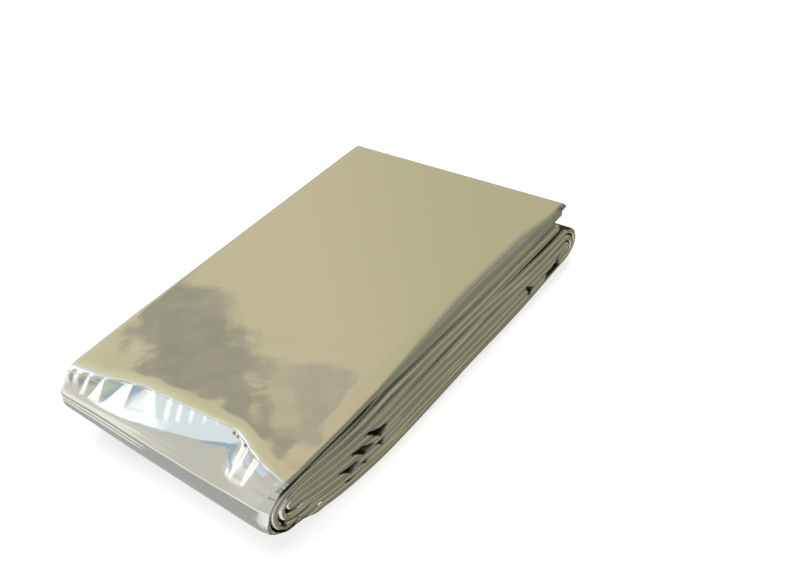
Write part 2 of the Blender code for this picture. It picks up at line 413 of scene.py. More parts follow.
left_reach = layer_sides(path, -1)[:, None] - half - EDGE_INSET
right_reach = layer_sides(path, 1)[:, None] - half - EDGE_INSET
face_across = np.where(FACE_PLACES[None] < 0, FACE_PLACES[None] * left_reach,
                       FACE_PLACES[None] * right_reach)
right_across, right_offset, right_painted_shade = strip_edge(1, levels)
left_across, left_offset, left_painted_shade = strip_edge(-1, levels[::-1])
# The layers' faces lie deep between other film and are painted fully shaded, but the outer one
# shows beside the outer film's end and is painted only partly shaded.
SHOWING_FACE_SHADE = 0.35
face_painted_shade = np.ones_like(face_across)
front_rows = (path[:, 3] == 1) & (path[:, 4] == 8)
face_painted_shade[front_rows, -2:] = SHOWING_FACE_SHADE
across = np.concatenate([face_across, right_across, face_across[:, ::-1], left_across], 1)
offset = np.concatenate([half + 0.0 * face_across, right_offset,
                         -half + 0.0 * face_across, left_offset], 1)
strip_painted_shade = np.concatenate([face_painted_shade, right_painted_shade, face_painted_shade, left_painted_shade], 1)
along = path[:, :1] + offset * run_normal[:, :1]
height = settled(path[:, 1:2] + offset * run_normal[:, 1:], along, across)

# The two loose top layers droop at their right side towards the far end, and catch light there.
DROOP = 3.1
DROOP_ALONG = (-14.0, 58.0)
DROOP_SIDE = (29.0, 38.5)
LIT_SHARE = 0.65
LIT_ALONG = (0.0, 16.0)
LIT_SIDE = (30.0, 37.0)
top_pair = (path[:, 3:4] <= LOOSE_TOP_LAYERS) & (path[:, 5:6] == 0.0)
beneath_top = (STACK_HEIGHT - height) / (LOOSE_TOP_LAYERS * PITCH)
drooping = smooth_step(*DROOP_ALONG, along) * smooth_step(*DROOP_SIDE, across)
height = height - top_pair * DROOP * drooping * beneath_top
# The front fold stays inside the outer film.
FILM_ROOM = 0.30
FRONT_ROOM = 0.75
FRONT_ROOM_ALONG = (-44.0, -52.0)
FACE_ROOM = 0.45
SIDE_ROOM = 0.40
SIDE_ROOM_ACROSS = (33.5, 37.0)
# Over this height above the underside the painted shade fades out.
FLOOR_FADE = (0.15, 0.7)
drop = STACK_HEIGHT - height
ridge_place, ridge_drop = front_line("ridge", across), front_line("ridge_drop", across)
below_ridge = np.clip((drop - ridge_drop) / (FRONT_FACE_DROPS[1] - ridge_drop), 0.0, 1.0)
face = ridge_place + (FRONT_FACE_PLACES[1] - ridge_place) * below_ridge
turn_places = np.array([-50.0, -48.0, -46.0, -43.0, -39.0])
face_drops = np.concatenate([FRONT_FACE_DROPS[1:], STACK_HEIGHT - underside(turn_places)])
face_places = np.concatenate([FRONT_FACE_PLACES[1:], turn_places])
face += np.interp(drop, face_drops, face_places) - FRONT_FACE_PLACES[1]
along = np.maximum(along, face + FACE_ROOM + SIDE_ROOM * smooth_step(*SIDE_ROOM_ACROSS, across))
room = FILM_ROOM + FRONT_ROOM * smooth_step(*FRONT_ROOM_ALONG, along)
height = np.minimum(height, STACK_HEIGHT - front_drop(across, along) - room)
# The painted shade fades out on the lowest film, at the underside.
strip_painted_shade *= smooth_step(*FLOOR_FADE, height - underside(along))
# Where the drooping top layers catch light, their painted shade is lighter.
lit = top_pair * smooth_step(*LIT_SIDE, across) * smooth_step(*LIT_ALONG, along)
strip_painted_shade *= 1.0 - LIT_SHARE * lit
strip_points = np.stack([across, along - PACKET_MIDDLE, height], -1)


def film_object(name, points, painted_shade, closed_across):
    """A smooth mesh from rows of points in millimetres, each row a loop when closed across."""
    rows, columns, _ = points.shape
    strips = columns if closed_across else columns - 1
    row, column = np.meshgrid(np.arange(rows - 1), np.arange(strips), indexing="ij")
    beside = (column + 1) % columns
    quads = np.stack([row * columns + column, row * columns + beside,
                      (row + 1) * columns + beside, (row + 1) * columns + column], -1)
    faces = quads.reshape(-1, 4).tolist()
    if closed_across:
        faces.append(list(range(columns))[::-1])
        faces.append([(rows - 1) * columns + place for place in range(columns)])
    mesh = bpy.data.meshes.new(name)
    mesh.from_pydata((points.reshape(-1, 3) * MM).tolist(), [], faces)
    mesh.update()
    mesh.shade_smooth()
    # Each point's painted shade, from none to full.
    shade_values = mesh.attributes.new("painted_shade", "FLOAT", "POINT").data
    shade_values.foreach_set("value", painted_shade.ravel())
    item = bpy.data.objects.new(name, mesh)
    bpy.context.collection.objects.link(item)
    return item


FILM_TINT = (0.93, 0.915, 0.87)
# Painted shade: the dark tint and matt roughness where film lies deep between other film.
PAINTED_SHADE_TINT = (0.075, 0.075, 0.058)
FILM_ROUGHNESS = 0.065
PAINTED_SHADE_ROUGHNESS = 0.55
# The haze and the crinkles in metres, and how far the haze changes the roughness.
HAZE_SIZE = 0.012
HAZE_LEAST = 0.8
HAZE_MOST = 1.25
CRINKLE_SIZE = 0.0035
CRINKLE_DEPTH = 0.000012


def set_inputs(node, values):
    for name, value in values.items():
        node.inputs[name].default_value = value


def metallised_film(name):
    """Mirror-bright film, hazy and finely crinkled, with painted shade: dark and matt where it is tucked
    in.
    """
    material = bpy.data.materials.new(name)
    material.use_nodes = True
    nodes, links = material.node_tree.nodes, material.node_tree.links
    shader = nodes["Principled BSDF"]
    set_inputs(shader, {"Metallic": 1.0})
    # Painted shade: the attribute darkens the colour and dulls the roughness.
    painted_shading = nodes.new("ShaderNodeAttribute")
    painted_shading.attribute_name = "painted_shade"
    tone = nodes.new("ShaderNodeMix")
    tone.data_type = "RGBA"
    set_inputs(tone, {"A": (*FILM_TINT, 1.0), "B": (*PAINTED_SHADE_TINT, 1.0)})
    links.new(painted_shading.outputs["Fac"], tone.inputs["Factor"])
    links.new(tone.outputs["Result"], shader.inputs["Base Color"])
    place = nodes.new("ShaderNodeTexCoord")
    haze = nodes.new("ShaderNodeTexNoise")
    set_inputs(haze, {"Scale": 1.0 / HAZE_SIZE, "Detail": 3.0})
    links.new(place.outputs["Object"], haze.inputs["Vector"])
    spread = nodes.new("ShaderNodeMapRange")
    set_inputs(spread, {"From Min": 0.3, "From Max": 0.7,
                        "To Min": FILM_ROUGHNESS * HAZE_LEAST, "To Max": FILM_ROUGHNESS * HAZE_MOST})
    links.new(haze.outputs["Fac"], spread.inputs["Value"])
    matt = nodes.new("ShaderNodeMix")
    set_inputs(matt, {"B": PAINTED_SHADE_ROUGHNESS})
    links.new(painted_shading.outputs["Fac"], matt.inputs["Factor"])
    links.new(spread.outputs["Result"], matt.inputs["A"])
    links.new(matt.outputs["Result"], shader.inputs["Roughness"])
    crinkle = nodes.new("ShaderNodeTexNoise")
    set_inputs(crinkle, {"Scale": 1.0 / CRINKLE_SIZE, "Detail": 2.0})
    links.new(place.outputs["Object"], crinkle.inputs["Vector"])
    bump = nodes.new("ShaderNodeBump")
    set_inputs(bump, {"Strength": 1.0, "Distance": CRINKLE_DEPTH})
    links.new(crinkle.outputs["Fac"], bump.inputs["Height"])
    links.new(bump.outputs["Normal"], shader.inputs["Normal"])
    return material


folded_strip = film_object("folded_strip", strip_points, strip_painted_shade, True)
folded_strip.data.materials.append(metallised_film("pleated_film"))
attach(folded_strip, "root")
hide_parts("foil_blanket")

# The outermost ply: the film that wraps the whole packet, from its free end at the far top edge,
# over the front fold and back underneath. It lies loose, so its front shows facets, darts and a ridge.
# Crease lines run down the front from the upper crease to the tips: where each starts and ends
# across, and how far the film stands proud along it at the start and at the end.
DartLine = namedtuple("DartLine", "across_top across_tip rise_top rise_tip")
DART_LINES = [DartLine(*row) for row in (
    (-60.0, -60.0, 0.0, 0.0),
    (-40.0, -38.4, -0.30, 0.0),
    (-38.7, -36.4, 0.0, 0.0),
    (-37.0, -36.0, -0.42, 0.0),
    (-35.0, -33.3, 0.0, 0.0),
    (-32.4, -32.8, -0.50, 0.0),
    (-31.2, -29.9, 0.0, 0.0),
    (-27.6, -29.3, -0.55, 0.0),
    (-26.4, -23.9, 0.0, 0.0),
    (-20.8, -23.2, -0.80, 0.0),
    (-17.6, -15.5, 0.0, 0.0),
    (-13.9, -14.9, -0.55, 0.0),
    (-9.8, -4.6, 0.05, 0.03),
    (-4.8, -1.5, -0.15, -0.05),
    (-3.8, -0.5, 0.0, 0.0),
    (-1.0, 1.9, -0.14, -0.05),
    (0.0, 2.9, 0.0, 0.0),
    (3.0, 5.3, -0.13, -0.04),
    (3.9, 6.3, 0.0, 0.0),
    (7.4, 9.2, -0.12, -0.04),
    (8.3, 10.2, 0.0, 0.0),
    (11.1, 12.6, -0.10, -0.03),
    (11.9, 13.5, 0.0, 0.0),
    (16.0, 16.5, 0.0, 0.0),
    (22.9, 23.8, -0.45, -0.06),
    (24.3, 24.2, 0.0, 0.0),
    (27.4, 28.8, -0.45, -0.06),
    (29.2, 29.4, 0.0, 0.0),
    (36.5, 36.0, -0.42, -0.10),
    (60.0, 60.0, 0.0, 0.0),
)]
# The ply's side edges, one row for each place along: how far it reaches left and right, where it
# starts to roll over on the right, and how far down it rolls there.
SideLine = namedtuple("SideLine", "along left right roll_start roll_depth")
SIDE_LINES = (
    SideLine(-64.0, 39.3, 38.0, 36.5, 0.60),
    SideLine(-60.5, 39.5, 38.4, 36.6, 0.60),
    SideLine(-57.5, 39.7, 39.0, 37.2, 0.45),
    SideLine(-54.0, 40.0, 39.85, 38.2, 0.45),
    SideLine(-34.0, 40.4, 39.85, 38.2, 0.45),
    SideLine(-20.0, 40.4, 39.55, 38.0, 0.60),
    SideLine(0.0, 40.4, 39.35, 35.4, 1.30),
    SideLine(18.0, 40.4, 39.3, 33.6, 2.10),
    SideLine(44.0, 40.4, 39.6, 34.0, 1.90),
    SideLine(56.0, 40.4, 39.9, 37.0, 0.80),
    SideLine(67.0, 40.2, 39.7, 38.0, 0.50),
)
PLY_LEFT = 40.4
PLY_RIGHT = 39.4
LEFT_ROLL_START = 38.2
LEFT_ROLL_DEPTH = 0.3
# Underneath the ply is narrower and rolls less.
UNDER_ROLL_START = 38.2
UNDER_ROLL_DEPTH = 0.3
UNDER_SIDE = 37.2
# The roll's curve: the share of it that turns down early, and its quicker turn at the nose.
EARLY_ROLL = 0.35
NOSE_ROLL_ALONG = (-55.0, -60.0)
NOSE_ROLL_POWER = 1.15
# A soft fold near the right edge, past which the top tilts down a little.
EDGE_FOLD = 32.6
EDGE_FOLD_WIDTH = 1.6
EDGE_TILT = 0.05
EDGE_TILT_ALONG = (24.0, -6.0)
SHOULDER_REACH = 3.6
SHOULDER_SAG = 0.22
TOP_END = 62.5
TOP_FLAT_END = -36.0
FRONT_ROUNDINGS = (2.0, 1.6, 2.0)
FRONT_ROWS = (22, 4, 4)
UNDER_PLACES = (-53.2, -44.0, -34.0, -26.0, -18.0, 22.0, 34.0, 46.0, 57.0)
FAR_INSIDE = 48.0
FOLD_ROOM = 0.15
COLUMNS = 272
ROUND_ROWS = 6

ply_share = np.linspace(-1.0, 1.0, COLUMNS)
ply_x = np.where(ply_share < 0, ply_share * PLY_LEFT, ply_share * PLY_RIGHT)

# Corners of the ply's run lengthwise: along and height at each place across, how far the corner is
# rounded, and how many rows of points lead up to it.
Corner = namedtuple("Corner", "along height rounding rows")
ones = np.ones_like(ply_x)
shoulder, crease = front_line("shoulder", ply_x), front_line("crease", ply_x)
tip, ridge = front_line("tip", ply_x), front_line("ridge", ply_x)
corners = [
    Corner(TOP_END * ones, STACK_HEIGHT * ones, 0.0, 0),
    Corner(TOP_FLAT_END * ones, STACK_HEIGHT * ones, 0.5, 46),
    Corner(shoulder, STACK_HEIGHT * ones, 1.4, 16),
    Corner(crease, STACK_HEIGHT - front_line("crease_drop", ply_x), 0.5, 6),
    Corner(front_line("break_along", ply_x), STACK_HEIGHT - front_line("break_drop", ply_x), 0.9, 26),
    Corner(ridge, STACK_HEIGHT - front_line("ridge_drop", ply_x), 0.35, 46),
]
BREAK_STAGE = 4
RIDGE_STAGE = 5
for drop, place, rounding, rows in zip(FRONT_FACE_DROPS[1:4], FRONT_FACE_PLACES[1:4],
                                       FRONT_ROUNDINGS, FRONT_ROWS):
    corners.append(Corner(place * ones, (STACK_HEIGHT - drop) * ones, rounding, rows))
FRONT_CORNERS = len(corners)
for place in UNDER_PLACES:
    corners.append(Corner(place * ones, float(underside(np.array(place))) * ones, 3.0, 4))
# Round the far fold, and a little way in over the third layer.
far_low = float(underside(np.array(FAR_BEND)))
far_top, inside_top = (layer_height(3, place) + half_layer(place) + FOLD_ROOM
                       for place in (np.array(FAR_BEND), np.array(FAR_INSIDE)))
for share in (0.25, 0.5, 0.75):
    far_place = FAR_BEND + (FAR_TIP - FAR_BEND) * math.sin(math.pi * share)
    far_height = (far_low + far_top) / 2 - (far_top - far_low) / 2 * math.cos(math.pi * share)
    corners.append(Corner(far_place * ones, far_height * ones, 2.2, 3))
corners.append(Corner(FAR_BEND * ones, far_top * ones, 2.0, 3))
corners.append(Corner(FAR_INSIDE * ones, inside_top * ones, 0.0, 6))
# The most of a straight that a rounded corner takes up, and the stage's part beside each corner.
CORNER_SHARE = 0.48
STAGE_MARGIN = 0.02


def rounded_run(corners):
    """Rows along a polyline whose corners are rounded; stage counts the corners passed."""
    rows, stage = [], []
    places = [np.stack([corner.along, corner.height], -1) for corner in corners]
    start = places[0]
    for index in range(1, len(places)):
        corner = places[index]
        incoming = corner - places[index - 1]
        length_in = np.linalg.norm(incoming, axis=-1, keepdims=True)
        back = np.minimum(corners[index].rounding, CORNER_SHARE * length_in)
        enter = corner - incoming / length_in * back
        for share in np.linspace(0.0, 1.0, corners[index].rows, endpoint=False):
            rows.append(start + (enter - start) * share)
            stage.append(index - 1 + share * (1 - 2 * STAGE_MARGIN) + STAGE_MARGIN)
        if index + 1 < len(places):
            outgoing = places[index + 1] - corner
            length_out = np.linalg.norm(outgoing, axis=-1, keepdims=True)
            ahead = np.minimum(corners[index].rounding, CORNER_SHARE * length_out)
            leave = corner + outgoing / length_out * ahead
            for share in np.linspace(0.0, 1.0, ROUND_ROWS, endpoint=False):
                rows.append(enter * (1 - share) ** 2 + corner * 2 * share * (1 - share)
                            + leave * share ** 2)
                stage.append(index - STAGE_MARGIN + 2 * STAGE_MARGIN * share)
            start = leave
        else:
            rows.append(corner)
            stage.append(float(index))
    return np.array(rows), np.array(stage)


run, stage = rounded_run(corners)
heading = np.gradient(run, axis=0)
heading /= np.linalg.norm(heading, axis=-1, keepdims=True)
outward = np.stack([heading[..., 1], -heading[..., 0]], -1)
lengthwise = run[..., 0]

# The darts: straight facets between the crease lines, fading out above the upper crease and at the
# tips. Their lines are crisp at the left and right, and soft at the stripes between.
FADE_PLACES = (-13.0, -7.0)
FADE_REACHES = (0.25, 0.30)
TIP_FADE = (1.04, 0.80)
SOFT_PLACES = (-9.0, -6.0, 15.0, 19.0)
SOFTNESS = (0.12, 0.70, 0.70, 0.20)
BLUR_SHIFTS = (-1.0, -0.5, 0.0, 0.5, 1.0)
above_tips = stage[:, None] < RIDGE_STAGE + 0.5
down_share = np.where(above_tips, (crease - lengthwise) / (crease - tip), 2.0)
fade_reach = np.interp(ply_x, FADE_PLACES, FADE_REACHES)
fade = smooth_step(-1.0, 0.0, (crease - lengthwise) / (shoulder - crease + fade_reach))
fade *= smooth_step(*TIP_FADE, down_share)
down = np.clip(down_share, 0.0, 1.0)
rise = np.zeros(lengthwise.shape)
softness = np.interp(ply_x, SOFT_PLACES, SOFTNESS)
for line, beside in zip(DART_LINES, DART_LINES[1:]):
    here = line.across_top + (line.across_tip - line.across_top) * down
    there = beside.across_top + (beside.across_tip - beside.across_top) * down
    rise_here = line.rise_top + (line.rise_tip - line.rise_top) * down
    rise_there = beside.rise_top + (beside.rise_tip - beside.rise_top) * down
    for blur in BLUR_SHIFTS:
        share = (ply_x[None] + blur * softness - here) / np.maximum(there - here, 0.05)
        within = (share >= 0.0) & (share < 1.0)
        rise += within * fade * (rise_here + (rise_there - rise_here) * share) / len(BLUR_SHIFTS)
# The top sinks softly towards the shoulder.
past_shoulder = np.clip((shoulder + SHOULDER_REACH - lengthwise) / SHOULDER_REACH, 0.0, 1.0)
rise -= SHOULDER_SAG * past_shoulder ** 2 * smooth_step(2.9, 2.0, stage[:, None])

# Soft undulation of the whole ply, stronger near the front, fading out underneath where it carries
# the packet.
FRONT_WAVES = (Wave(0.040, 16.0, 5), Wave(0.016, 8.0, 6))
LONG_WAVE = Wave(0.020, 34.0, 7)
loose = 1.0 - smooth_step(RIDGE_STAGE, RIDGE_STAGE + 2.0, stage[:, None])
near_front = smooth_step(-6.0, -26.0, lengthwise) * loose
for wave in FRONT_WAVES:
    rise += film_ripple(wave, ply_x[None], lengthwise) * near_front
rise += film_ripple(LONG_WAVE, ply_x[None], lengthwise) * loose
# Fine creases lie along the steep facet beside the ridge, each starting further right than the last.
FACET_CREASES = 5
FACET_CREASE_GAP = 1.25
FACET_CREASE_SHIFT = 4.5
FACET_CREASE_RISE = 0.036
FACET_CREASE_WIDTH = 0.24
CREASE_WANDER = Wave(0.10, 40.0, 61)
facet = smooth_step(BREAK_STAGE, BREAK_STAGE + 0.12, stage[:, None])
facet = facet * smooth_step(RIDGE_STAGE - 0.02, RIDGE_STAGE - 0.1, stage[:, None])
for step in range(1, FACET_CREASES + 1):
    wander = film_ripple(CREASE_WANDER, ply_x, step * 9.0)
    from_crease = lengthwise - ridge - step * FACET_CREASE_GAP - wander
    shift_right = step * FACET_CREASE_SHIFT
    crossing = smooth_step(-26.0 + shift_right, -12.0 + shift_right, ply_x) * smooth_step(17.0, 9.0, ply_x)
    rise += FACET_CREASE_RISE * facet * crossing * np.exp(-(from_crease / FACET_CREASE_WIDTH) ** 2)

# Two soft troughs run along the lower facet's left half.
Trough = namedtuple("Trough", "stage depth")
TROUGHS = (Trough(5.35, 0.22), Trough(5.75, 0.16))
TROUGH_WIDTH = 0.09
TROUGH_SLANT = 0.002
for trough in TROUGHS:
    from_trough = stage[:, None] - trough.stage - TROUGH_SLANT * ply_x[None]
    rise -= trough.depth * np.exp(-(from_trough / TROUGH_WIDTH) ** 2) * smooth_step(4.0, -16.0, ply_x)

# The ply rolls over both long sides: softly towards the far end, closely at the front.
side_places = [line.along for line in SIDE_LINES]
side_line = {name: np.interp(lengthwise, side_places, [getattr(line, name) for line in SIDE_LINES])
             for name in SideLine._fields}
on_right = ply_x[None] > 0
beneath = stage[:, None] > FRONT_CORNERS - 1
roll_start = np.where(on_right, side_line["roll_start"], LEFT_ROLL_START)
roll_start = np.where(beneath, UNDER_ROLL_START, roll_start)
roll_depth = np.where(on_right, side_line["roll_depth"], LEFT_ROLL_DEPTH)
roll_depth = roll_depth + (UNDER_ROLL_DEPTH - roll_depth) * smooth_step(
    RIDGE_STAGE + 0.6, RIDGE_STAGE + 2.2, stage[:, None])
roll_end = np.where(on_right, PLY_RIGHT, PLY_LEFT)
rolled = np.clip((np.abs(ply_x)[None] - roll_start) / (roll_end - roll_start), 0.0, 1.0)
past_fold = np.clip(ply_x[None] - EDGE_FOLD, 0.0, EDGE_FOLD_WIDTH)
tilted = past_fold ** 2 / (2 * EDGE_FOLD_WIDTH)
tilted = tilted + np.maximum(ply_x[None] - EDGE_FOLD - EDGE_FOLD_WIDTH, 0.0)
tilted = tilted * EDGE_TILT * smooth_step(*EDGE_TILT_ALONG, lengthwise) * loose
nose_share = smooth_step(*NOSE_ROLL_ALONG, lengthwise) * on_right * (~beneath)
roll_curve = EARLY_ROLL * rolled ** 2 + (1.0 - EARLY_ROLL) * rolled ** 4
roll_curve += nose_share * (rolled ** NOSE_ROLL_POWER - roll_curve)
shift = rise - roll_depth * roll_curve - tilted
ply_along = run[..., 0] + outward[..., 0] * shift
ply_height = run[..., 1] + outward[..., 1] * shift
reach = np.where(on_right, side_line["right"] / PLY_RIGHT, side_line["left"] / PLY_LEFT)
under_reach = np.minimum(reach, UNDER_SIDE / np.where(on_right, PLY_RIGHT, PLY_LEFT))
reach += (under_reach - reach) * smooth_step(RIDGE_STAGE + 1.0, RIDGE_STAGE + 2.2, stage[:, None])
ply_height = ply_height + left_lift(ply_along, ply_height, ply_x[None])
# Small pinches, sunk a little and with painted shade inside: beside the darts on the right, and at the far
# corner.
Pinch = namedtuple("Pinch", "across along reach")
PINCHES = (Pinch(17.9, -50.2, 0.40), Pinch(19.4, -50.5, 0.34), Pinch(22.7, -51.4, 0.40),
           Pinch(38.9, 60.0, 0.8))
PINCH_SLANT = 0.25
PINCH_STRETCH = 0.7
PINCH_PAINTED_SHADE = 0.8
PINCH_SINK = 0.25
LEAST_HEIGHT = 0.02
ply_painted_shade = np.zeros(ply_height.shape)
for pinch in PINCHES:
    off_across = ply_x[None] - pinch.across
    off_along = ply_along - pinch.along + PINCH_SLANT * off_across
    away = np.hypot(off_across * PINCH_STRETCH, off_along) / pinch.reach
    pinched = smooth_step(1.1, 0.2, away) * (stage[:, None] < RIDGE_STAGE + 1)
    ply_painted_shade = np.maximum(ply_painted_shade, PINCH_PAINTED_SHADE * pinched)
ply_height = np.maximum(ply_height - PINCH_SINK * ply_painted_shade, LEAST_HEIGHT)
ply_points = np.stack([ply_x[None] * reach, ply_along - PACKET_MIDDLE, ply_height], -1)
outer_ply = film_object("outer_ply", ply_points[::-1], ply_painted_shade[::-1], False)
outer_ply.data.materials.append(metallised_film("outer_film"))
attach(outer_ply, "root")

# A plain pale floor and soft light from above. The floor stays out of the film's reflections, which
# come from the surroundings alone.
FLOOR_COLOUR = (0.40, 0.40, 0.40, 1.0)
FLOOR_GLOW = 0.70
bpy.ops.mesh.primitive_plane_add(size=6.0, location=(0.0, 0.0, 0.0))
floor = bpy.context.object
floor.name = "floor"
floor_material = bpy.data.materials.new("pale_floor")
floor_material.use_nodes = True
floor_shader = floor_material.node_tree.nodes["Principled BSDF"]
set_inputs(floor_shader, {"Base Color": FLOOR_COLOUR, "Roughness": 0.9,
                          "Emission Color": (1.0, 1.0, 1.0, 1.0), "Emission Strength": FLOOR_GLOW})
floor.data.materials.append(floor_material)
floor.visible_glossy = False

LAMP_PLACE = Vector((-0.15, 0.2, 0.9))
LAMP_SIZE = 1.2
LAMP_POWER = 14.0
soft_light = bpy.data.lights.new("soft_light", "AREA")
soft_light.shape = "SQUARE"
soft_light.size = LAMP_SIZE
soft_light.energy = LAMP_POWER
soft_lamp = bpy.data.objects.new("soft_light", soft_light)
soft_lamp.location = LAMP_PLACE
soft_lamp.rotation_euler = (-LAMP_PLACE).to_track_quat("-Z", "Y").to_euler()
soft_lamp.visible_glossy = False
bpy.context.collection.objects.link(soft_lamp)

# The surroundings as the film mirrors them: a warm wall behind with a dim, ragged patch on it, a
# bright cool window to the front left, dim to the right, and a darker ground.
world = bpy.data.worlds.new("surroundings")
bpy.context.scene.world = world
world.use_nodes = True
world_nodes, world_links = world.node_tree.nodes, world.node_tree.links
world_nodes.clear()
Stop = namedtuple("Stop", "bearing colour")
WALLS = (
    Stop(0, (0.15, 0.16, 0.145)),
    Stop(32, (0.20, 0.22, 0.195)),
    Stop(52, (0.20, 0.195, 0.145)),
    Stop(74, (0.21, 0.205, 0.15)),
    Stop(94, (0.25, 0.24, 0.17)),
    Stop(110, (0.34, 0.32, 0.22)),
    Stop(126, (0.49, 0.455, 0.30)),
    Stop(146, (0.57, 0.525, 0.355)),
    Stop(156, (0.58, 0.54, 0.37)),
    Stop(164, (0.66, 0.63, 0.44)),
    Stop(169, (0.68, 0.69, 0.60)),
    Stop(176, (0.68, 0.76, 0.79)),
    Stop(184, (1.06, 1.12, 1.15)),
    Stop(207, (1.15, 1.17, 1.17)),
    Stop(215, (0.62, 0.64, 0.62)),
    Stop(226, (0.53, 0.545, 0.515)),
    Stop(234, (0.33, 0.345, 0.34)),
    Stop(246, (0.33, 0.34, 0.32)),
    Stop(258, (0.86, 0.88, 0.90)),
    Stop(296, (1.15, 1.18, 1.22)),
    Stop(314, (0.60, 0.60, 0.60)),
    Stop(332, (0.18, 0.19, 0.18)),
    Stop(360, (0.15, 0.16, 0.145)),
)
HORIZON = (
    Stop(0, (0.38, 0.37, 0.27)),
    Stop(90, (0.38, 0.37, 0.27)),
    Stop(150, (0.42, 0.395, 0.28)),
    Stop(176, (0.80, 0.82, 0.78)),
    Stop(190, (1.00, 1.02, 1.00)),
    Stop(214, (0.88, 0.89, 0.82)),
    Stop(240, (0.88, 0.87, 0.74)),
    Stop(275, (1.05, 1.07, 1.10)),
    Stop(300, (1.00, 1.02, 1.06)),
    Stop(328, (0.44, 0.43, 0.36)),
    Stop(360, (0.38, 0.37, 0.27)),
)
GROUND = (
    Stop(0, (0.23, 0.22, 0.155)),
    Stop(12, (0.20, 0.19, 0.135)),
    Stop(90, (0.20, 0.19, 0.135)),
    Stop(145, (0.13, 0.13, 0.115)),
    Stop(166, (0.48, 0.50, 0.50)),
    Stop(186, (0.45, 0.48, 0.48)),
    Stop(204, (0.40, 0.43, 0.435)),
    Stop(240, (0.37, 0.39, 0.38)),
    Stop(262, (0.85, 0.86, 0.90)),
    Stop(310, (0.80, 0.79, 0.78)),
    Stop(336, (0.50, 0.47, 0.41)),
    Stop(352, (0.32, 0.30, 0.23)),
    Stop(360, (0.23, 0.22, 0.155)),
)
DIM_OLIVE = (0.285, 0.30, 0.225)
DIM_BROWN = (0.40, 0.365, 0.29)
LIGHT_BROWN = (0.49, 0.45, 0.33)
PALE_WALL = (0.72, 0.82, 0.87)
LOW_WALL = (0.64, 0.635, 0.585)
CEILING = (0.56, 0.56, 0.50)
DIM_CEILING = (0.55, 0.565, 0.535)
ZENITH = (0.35, 0.45, 0.54)
DARK_ZENITH = (0.25, 0.245, 0.19)
BLUE_PATCH = (0.60, 0.71, 0.82)
DARK_CEILING = (0.33, 0.345, 0.34)
GREY_WALL = (0.26, 0.285, 0.25)
GLINT = (0.95, 0.98, 1.0)


def world_math(operation, first, *others):
    """The operation on the first value and then on each of the others in turn, or on it alone."""
    result = first
    for second in others or (None,):
        node = world_nodes.new("ShaderNodeMath")
        node.operation = operation
        for socket, value in zip(node.inputs, (result, second)):
            if isinstance(value, (int, float)):
                socket.default_value = value
            elif value is not None:
                world_links.new(value, socket)
        result = node.outputs[0]
    return result


def world_ramp(bearing, stops):
    """Colour by bearing, in degrees from +X round by +Y."""
    ramp = world_nodes.new("ShaderNodeValToRGB")
    ramp.color_ramp.interpolation = "EASE"
    elements = ramp.color_ramp.elements
    while len(elements) < len(stops):
        elements.new(1.0)
    for element, stop in zip(elements, stops):
        element.position = stop.bearing / 360
        element.color = (*stop.colour, 1.0)
    world_links.new(world_math("DIVIDE", bearing, 360.0), ramp.inputs["Fac"])
    return ramp.outputs["Color"]


def world_mix(share, first, second):
    """The first colour where the share is nothing, and the second where it is one."""
    mix = world_nodes.new("ShaderNodeMix")
    mix.data_type = "RGBA"
    world_links.new(share, mix.inputs["Factor"])
    for socket, value in ((mix.inputs["A"], first), (mix.inputs["B"], second)):
        if isinstance(value, tuple):
            socket.default_value = (*value, 1.0)
        else:
            world_links.new(value, socket)
    return mix.outputs["Result"]


def world_share(value, start, full):
    """Nothing where the value is at the start, one where it is at the full, and smooth between."""
    node = world_nodes.new("ShaderNodeMapRange")
    node.interpolation_type = "SMOOTHSTEP"
    set_inputs(node, {"From Min": start, "From Max": full})
    world_links.new(value, node.inputs["Value"])
    return node.outputs["Result"]


def world_noise(size, detail, amount):
    """Unevenness over the surroundings: its usual range is the given amount either way, in degrees."""
    noise = world_nodes.new("ShaderNodeTexNoise")
    set_inputs(noise, {"Scale": 1.0 / math.radians(size), "Detail": detail, "Distortion": 0.6})
    world_links.new(view.outputs["Generated"], noise.inputs["Vector"])
    return world_math("MULTIPLY", world_math("SUBTRACT", noise.outputs["Fac"], 0.5), amount * 4.0)


Spot = namedtuple("Spot", "bearing elevation wide high unevenness")


def world_spot(spot):
    """A soft-edged spot: one in its middle and nothing outside its half width and half height."""
    across_spot = world_math("DIVIDE", world_math("SUBTRACT", bearing, spot.bearing), spot.wide)
    up_spot = world_math("DIVIDE", world_math("SUBTRACT", elevation, spot.elevation), spot.high)
    distance = world_math("ADD", world_math("POWER", world_math("ABSOLUTE", across_spot), 2.0),
                          world_math("POWER", world_math("ABSOLUTE", up_spot), 2.0))
    return world_share(world_math("ADD", distance, world_noise(2.0, 4.0, spot.unevenness)), 1.3, 0.6)


Step = namedtuple("Step", "start full shift")


def stepped(value, steps):
    """The value, moved by each step's shift between the elevations where it starts and is full."""
    for step in steps:
        shift_here = world_math("MULTIPLY", world_share(elevation, step.start, step.full), step.shift)
        value = world_math("ADD", value, shift_here)
    return value


def slanted(start_bearing, slope):
    """The elevation, raised with the bearing from the given one on."""
    return world_math("ADD", elevation, world_math(
        "MULTIPLY", world_math("SUBTRACT", bearing, start_bearing), slope))


view = world_nodes.new("ShaderNodeTexCoord")
axes = world_nodes.new("ShaderNodeSeparateXYZ")
world_links.new(view.outputs["Generated"], axes.inputs[0])
turn = world_math("ARCTAN2", world_math("MULTIPLY", axes.outputs["Y"], -1.0),
                  world_math("MULTIPLY", axes.outputs["X"], -1.0))
bearing = world_math("ADD", world_math("MULTIPLY", turn, math.degrees(1.0)), 180.0)
elevation = world_math("MULTIPLY", world_math("ARCSINE", axes.outputs["Z"]), math.degrees(1.0))

walls = world_ramp(bearing, WALLS)
